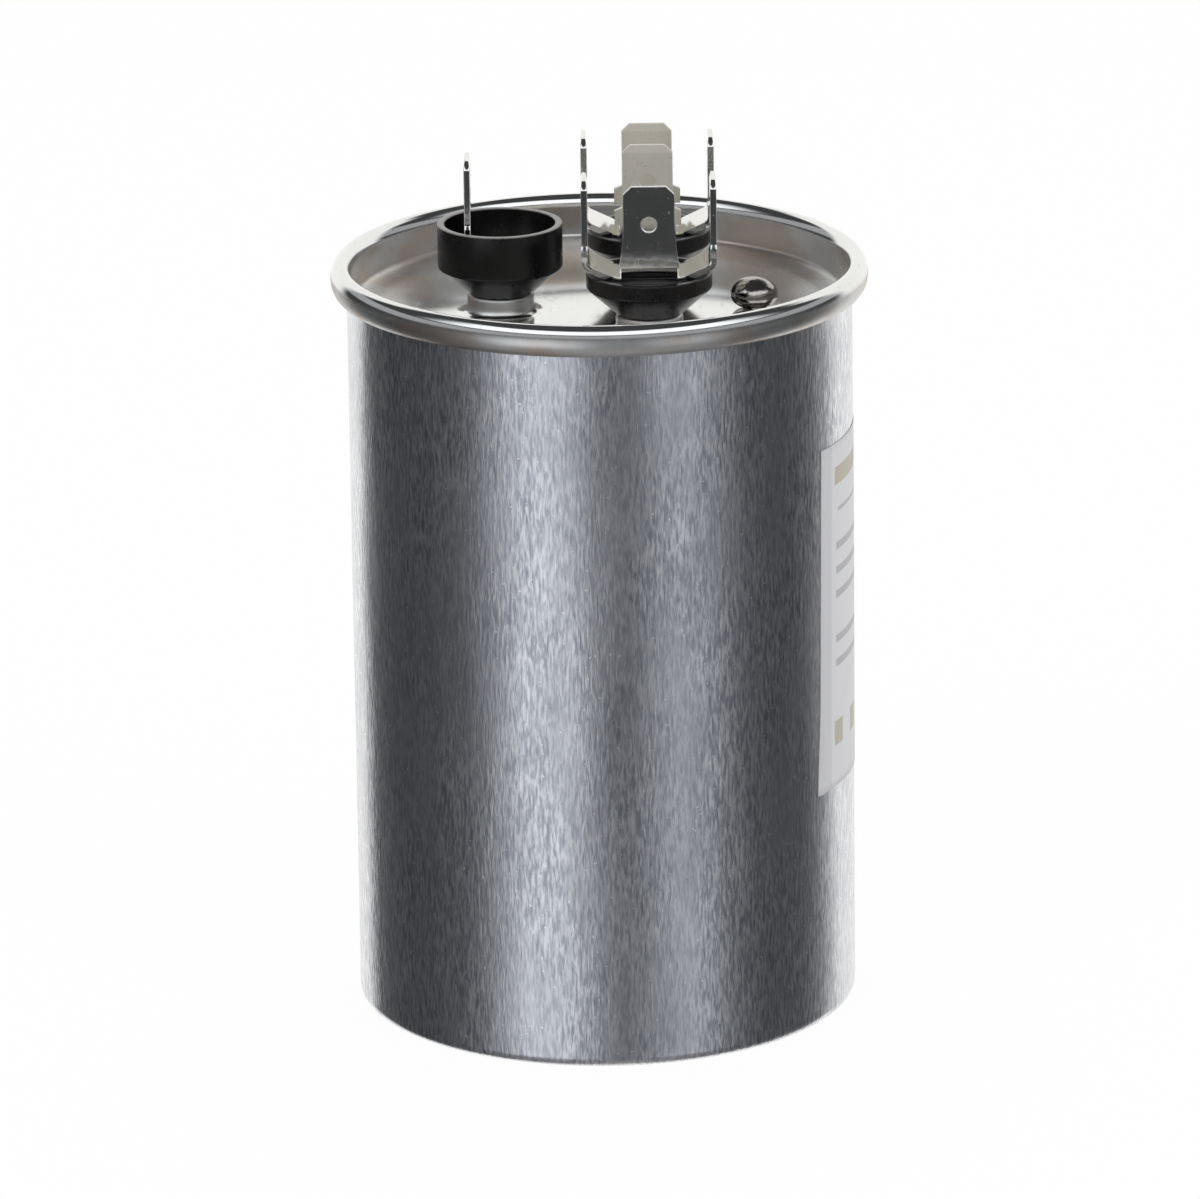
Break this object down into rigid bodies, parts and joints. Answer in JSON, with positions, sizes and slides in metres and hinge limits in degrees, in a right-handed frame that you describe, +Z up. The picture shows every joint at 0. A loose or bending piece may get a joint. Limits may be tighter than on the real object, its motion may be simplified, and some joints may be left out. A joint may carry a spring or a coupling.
{
  "type": "motor run capacitor",
  "caption": "Round metal-cased dual motor run capacitor with a rolled rim, three black insulator cups and upright push-on tabs.",
  "frame": {"origin": "centre of the can's flat base", "axes": "+Z up along the can's axis; -Y towards the three-tab terminal, +Y towards the four-tab terminal, -X towards the tall cup"},
  "size_m": [0.0674, 0.0674, 0.1099],
  "materials": {
    "can": "drawn, satin, with fine lengthwise marks",
    "tinplate": "bright tinplate",
    "nickel": "bright plated",
    "solder": "bright solder",
    "black_resin": "moulded, semi-matte",
    "rubber": "matte",
    "brass": "tinned",
    "copper": "bare wire",
    "metallised_film": "glossy metallised film",
    "clear_film": "clear film",
    "zinc": "sprayed, rough",
    "white_plastic": "moulded",
    "label": "bare adhesive label, satin"
  },
  "bodies": {
    "root": {"can": "can", "lid": "tinplate", "seam_gasket": "rubber", "fill_plug": "solder", "label": "label", "fan_cup": "black_resin", "compressor_cup": "black_resin", "common_cup": "black_resin", "fan_seal": "rubber", "compressor_seal": "rubber", "common_seal": "rubber", "fan_bushing": "white_plastic", "compressor_bushing": "white_plastic", "common_bushing": "white_plastic", "fan_lug": "brass", "compressor_lug": "brass", "common_lug": "brass", "fan_post": "nickel", "compressor_post": "nickel", "common_post": "nickel", "fan_tab": "nickel", "compressor_side_tabs": "nickel", "compressor_front_tab": "nickel", "common_side_tabs": "nickel", "common_facing_tabs": "nickel", "fan_lead": "copper", "compressor_lead": "copper", "common_lead": "copper", "spacer_disc": "white_plastic", "compressor_end_spray": "zinc", "fan_end_spray": "zinc", "compressor_winding": "metallised_film", "section_wrap": "clear_film", "fan_winding": "metallised_film", "outer_wrap": "clear_film", "core_tube": "white_plastic", "common_end_spray": "zinc", "can_liner": "clear_film", "bottom_pad": "white_plastic"}
  },
  "joints": []
}
